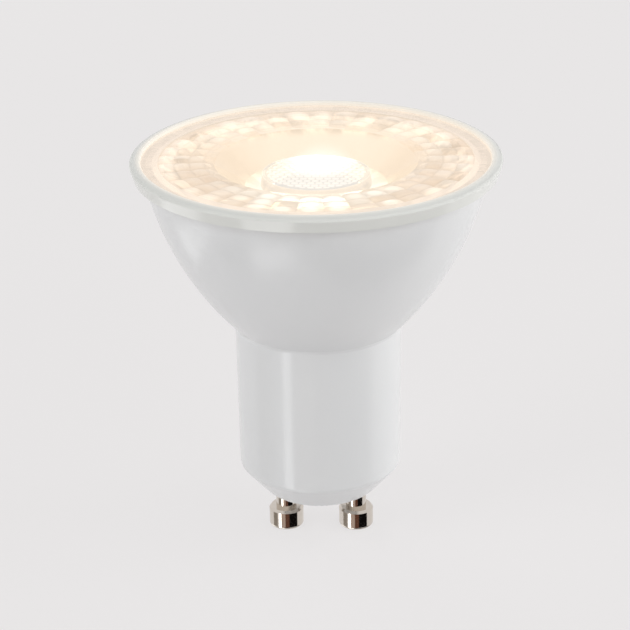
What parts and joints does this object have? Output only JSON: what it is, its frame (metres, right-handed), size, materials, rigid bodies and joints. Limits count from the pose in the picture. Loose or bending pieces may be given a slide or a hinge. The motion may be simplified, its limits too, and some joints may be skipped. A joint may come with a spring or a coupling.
{
  "type": "led spotlight bulb",
  "caption": "Reflector-shaped LED lamp with a faceted clear lens, white moulded bowl and neck, and two headed twist-lock contact pins.",
  "frame": {"origin": "on the lamp's axis, at the height of the contact pins' tips", "axes": "+Z along the lamp's axis from the pins to the lens; the two pins stand on the X axis"},
  "size_m": [0.05, 0.05, 0.056],
  "materials": {
    "white_plastic": "fine satin moulded surface",
    "ring_plastic": "slightly translucent greenish white, polished",
    "clear_lens": "clear optical plastic, polished",
    "nickel": "bright nickel plating",
    "drawn_aluminium": "drawn sheet",
    "pad_silicone": "soft matt",
    "board_white": "white solder mask on aluminium",
    "led_package": "yellow phosphor in a white frame",
    "screw_steel": "zinc plated",
    "board_green": "solder mask on glass fibre",
    "resistor_body": "lacquered",
    "shrink_sleeve": "shrink tube",
    "film_box": "epoxy filled box",
    "can_sleeve": "sleeved aluminium can",
    "ferrite": "sintered",
    "winding_copper": "enamelled wire",
    "package_black": "moulded epoxy",
    "chip_black": "glazed film resistor",
    "chip_tan": "fired ceramic capacitor",
    "wire_white": "extruded insulation",
    "wire_red": "extruded insulation",
    "wire_black": "extruded insulation"
  },
  "bodies": {
    "root": {"housing": "white_plastic", "front_ring": "ring_plastic", "lens": "clear_lens", "heat_sink_cup": "drawn_aluminium", "thermal_pad": "pad_silicone", "led_board": "board_white", "led_1": "led_package", "led_2": "led_package", "led_3": "led_package", "led_4": "led_package", "board_screws": "screw_steel", "contact_pin_left": "nickel", "contact_pin_right": "nickel", "input_wire_left": "wire_white", "input_wire_right": "wire_white", "output_wire_left": "wire_black", "output_wire_right": "wire_red", "driver_board": "board_green", "fuse_resistor": "resistor_body", "fuse_sleeve": "shrink_sleeve", "film_capacitor": "film_box", "input_capacitor": "can_sleeve", "output_capacitor": "can_sleeve", "choke_core": "ferrite", "choke_winding": "winding_copper", "bridge_rectifier": "package_black", "driver_chip": "package_black", "freewheel_diode": "package_black", "chip_resistor_1": "chip_black", "chip_resistor_2": "chip_black", "chip_resistor_3": "chip_black", "chip_resistor_4": "chip_black", "chip_capacitor_1": "chip_tan", "chip_capacitor_2": "chip_tan"}
  },
  "joints": []
}
